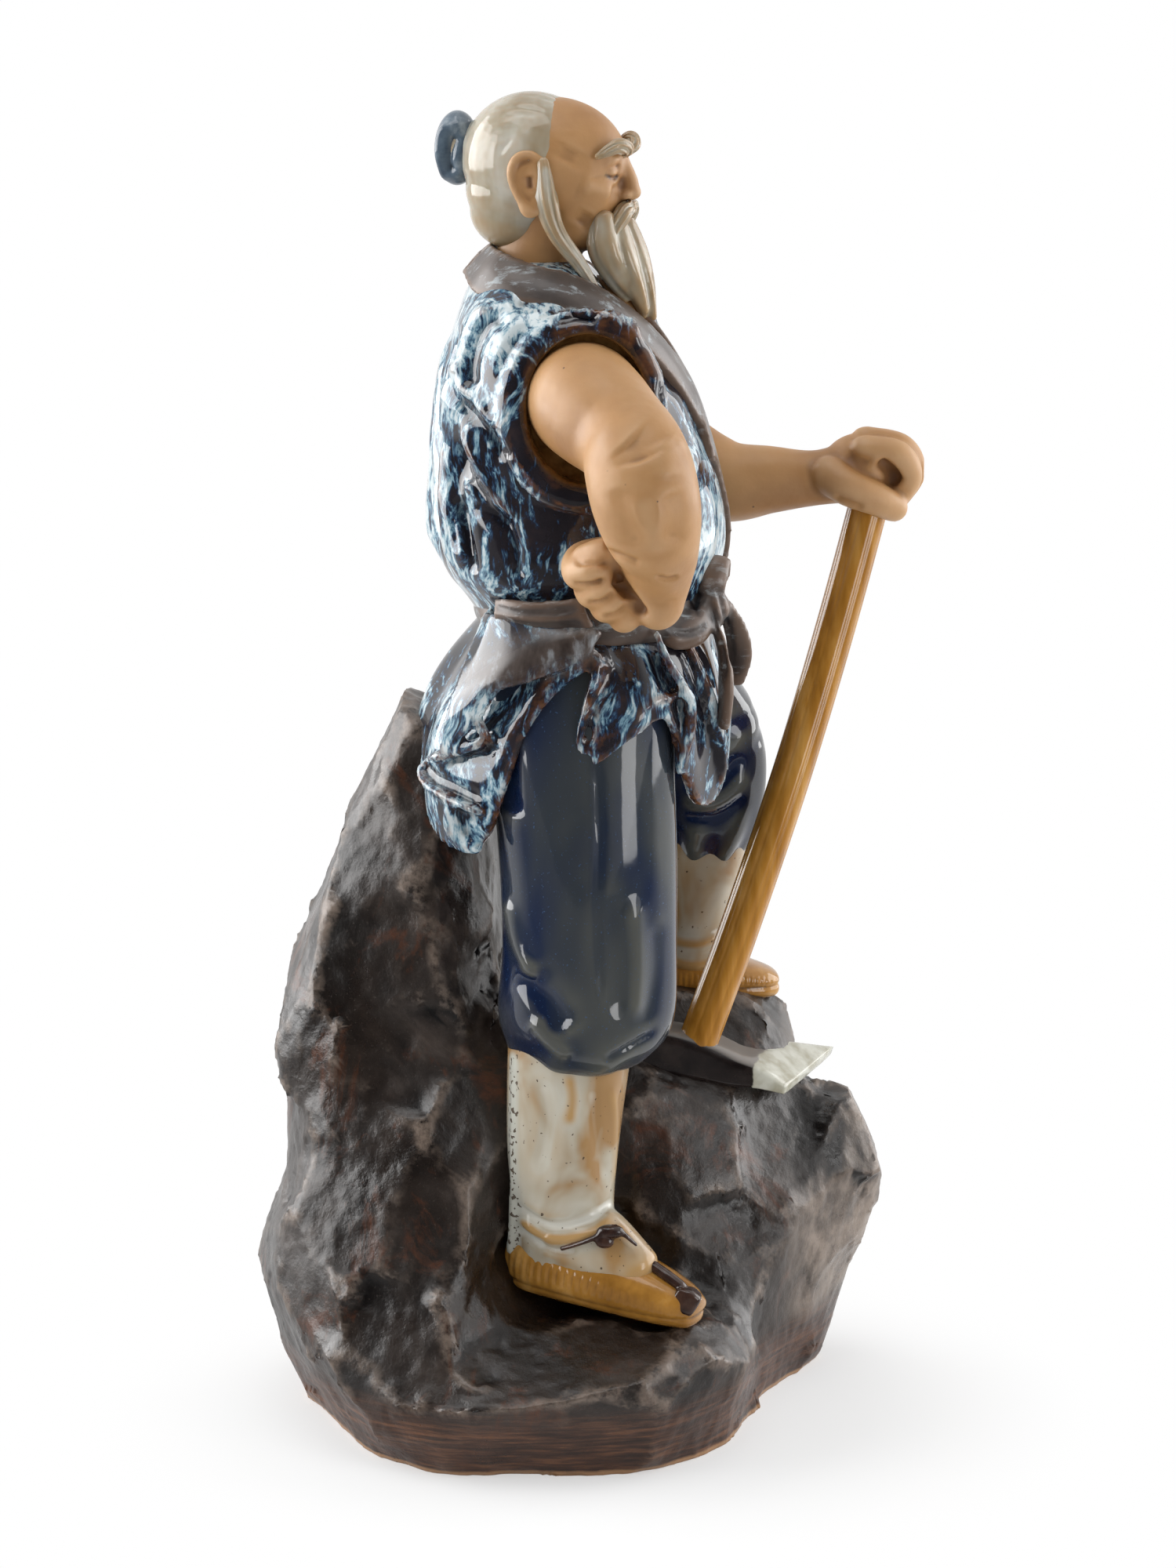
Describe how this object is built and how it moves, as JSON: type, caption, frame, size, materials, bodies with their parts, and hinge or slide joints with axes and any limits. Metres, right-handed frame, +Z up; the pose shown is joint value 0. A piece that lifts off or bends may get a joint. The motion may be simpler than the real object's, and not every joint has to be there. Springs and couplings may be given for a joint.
{
  "type": "ceramic figurine",
  "caption": "Glazed stoneware figurine of a bearded old man in a sleeveless robe, standing on a hollow rock with a fist on the hip and a hand on a mattock.",
  "frame": {"origin": "middle of the bounding box on the ground plane under the rock", "axes": "+Z up, -Y the way the man faces, -X his right side, the side with the fist on the hip"},
  "size_m": [0.1428, 0.1732, 0.3418],
  "materials": {
    "glazed_stoneware": "gloss glazes over buff stoneware, with satin brown on the rock and bare clay on skin"
  },
  "bodies": {
    "root": {"figurine": "glazed_stoneware"}
  },
  "joints": []
}
